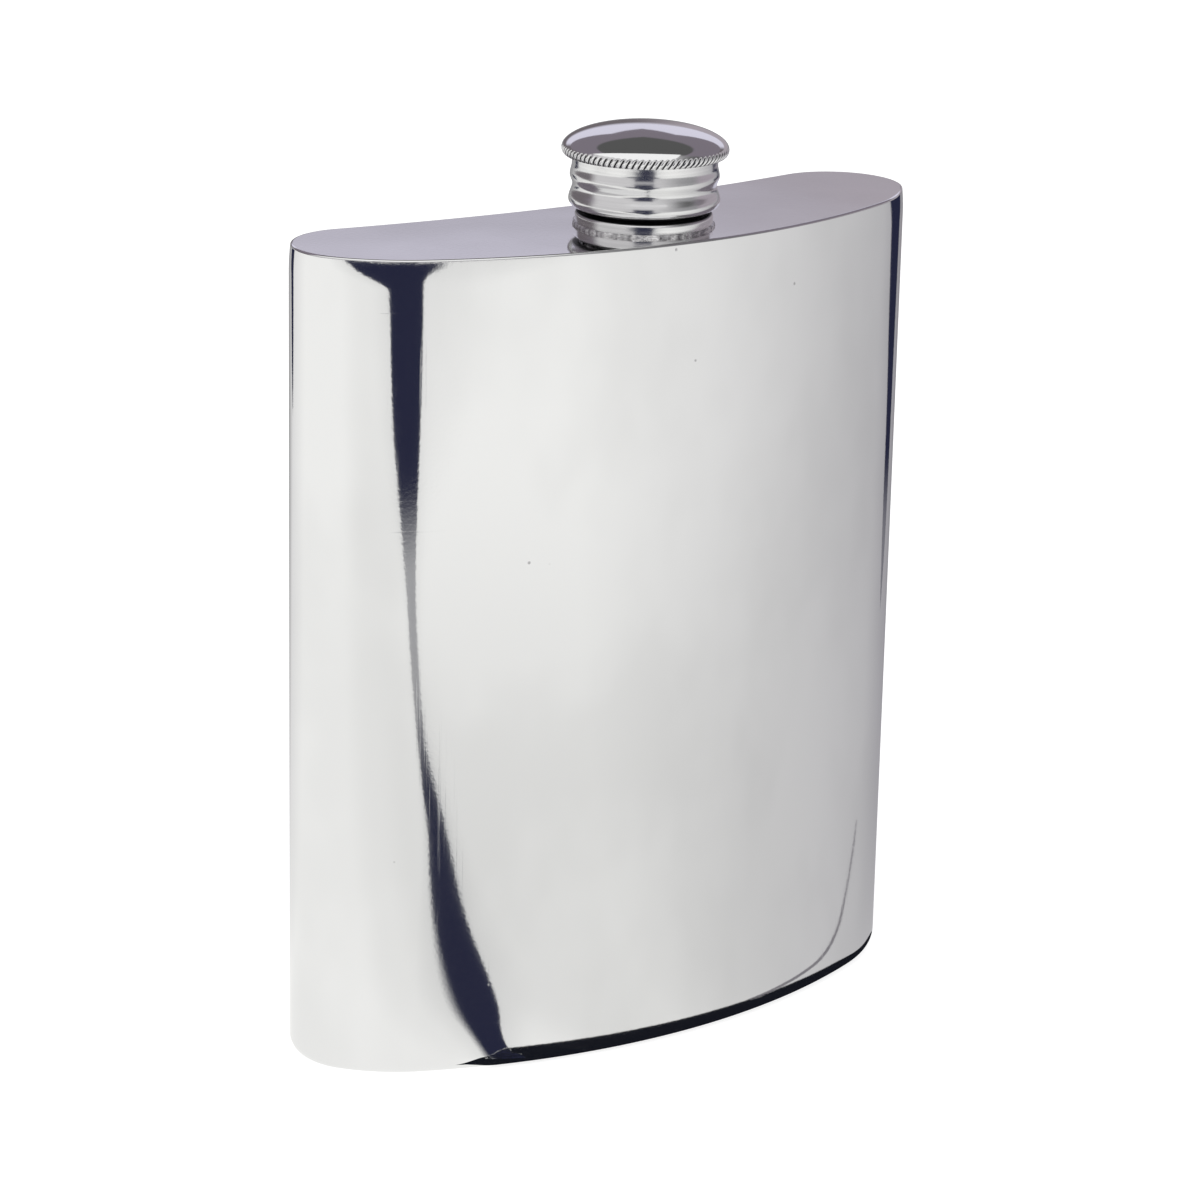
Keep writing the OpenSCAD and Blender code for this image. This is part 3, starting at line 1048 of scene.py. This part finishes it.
        behind, aside, right, facing, beside = (along(a) for a in (145, 55, 75, -36, 54))
        off = abs(aside)
        gable = off.at_most(0.1)
        height = z - gable + (off - gable) * 0.25
        band = z.step(0.148, 0.252) * (1 - off.step(0.42, 0.62))
        rear = n.mix(band, (0.16, 0.142, 0.155), (0.72, 0.70, 0.82))
        dim = aside.step(-0.02, 0.09) * (1 - z.step(0.2, 0.235))
        rear = n.mix(dim, rear, (0.40, 0.36, 0.40))
        rear = n.mix(height.step(0.36, 0.39), rear, (0.21, 0.185, 0.22))
        rear = n.mix((z - off * 0.47).step(0.565, 0.605), rear, rgb(s.ceiling))
        front = n.mix(right.step(-0.2, 0.95), rgb(s.wall), (0.30, 0.30, 0.31))
        front = n.mix(right.step(0.3, 0.8) * z.step(0.25, 0.35), front, rgb(s.ceiling))
        room = n.mix(behind.step(-0.2, 0.12), front, rear)
        box = z.step(0, 0.1)
        for side in (z * 0.07 - behind, z * 0.5 - right, z * 1.15 + right, z * 1.6 + behind):
            box = box * side.step(-0.02, 0.02)
        room = n.mix(box, room, rgb(s.soft_box))
        figure = facing.step(0, 0.1) * (1 - abs(beside).step(0.23, 0.27)) * (1 - z.step(0.24, 0.34))
        n.plug(n.tree.nodes["Background"].inputs["Color"], n.mix(figure, room, rgb(s.card)))


class FLASK_PT_sidebar(bpy.types.Panel):
    """Buttons and sizes of the flask"""

    bl_idname = "FLASK_PT_sidebar"
    bl_label = "Hip Flask"
    bl_space_type = "VIEW_3D"
    bl_region_type = "UI"
    bl_category = "Flask"

    def draw(self, context):
        for operator in OPERATORS:
            self.layout.operator(operator.bl_idname)
        for group in GROUPS:
            box = self.layout.box()
            for key in GROUPS[group].__annotations__:
                box.prop(getattr(context.scene, group), key)


OPERATORS = (FLASK_OT_panels, FLASK_OT_plates, FLASK_OT_neck, FLASK_OT_neck_solder, FLASK_OT_crown,
             FLASK_OT_sleeve, FLASK_OT_bush, FLASK_OT_liner, FLASK_OT_hidden_joints, FLASK_OT_stage)
GROUPS = {"flask_body": FlaskBodySizes, "flask_neck": FlaskNeckSizes, "flask_cap": FlaskCapSizes,
          "flask_finishes": FlaskFinishes, "flask_stage": FlaskStage}


def register():
    for made in (*GROUPS.values(), *OPERATORS, FLASK_PT_sidebar):
        bpy.utils.register_class(made)
    for key, group in GROUPS.items():
        setattr(bpy.types.Scene, key, PointerProperty(type=group))


def unregister():
    for key in GROUPS:
        delattr(bpy.types.Scene, key)
    for made in reversed((*GROUPS.values(), *OPERATORS, FLASK_PT_sidebar)):
        bpy.utils.unregister_class(made)


def main():
    register()
    for operator in OPERATORS:
        group, name = operator.bl_idname.split(".")
        getattr(getattr(bpy.ops, group), name)()


if __name__ == "__main__":
    main()
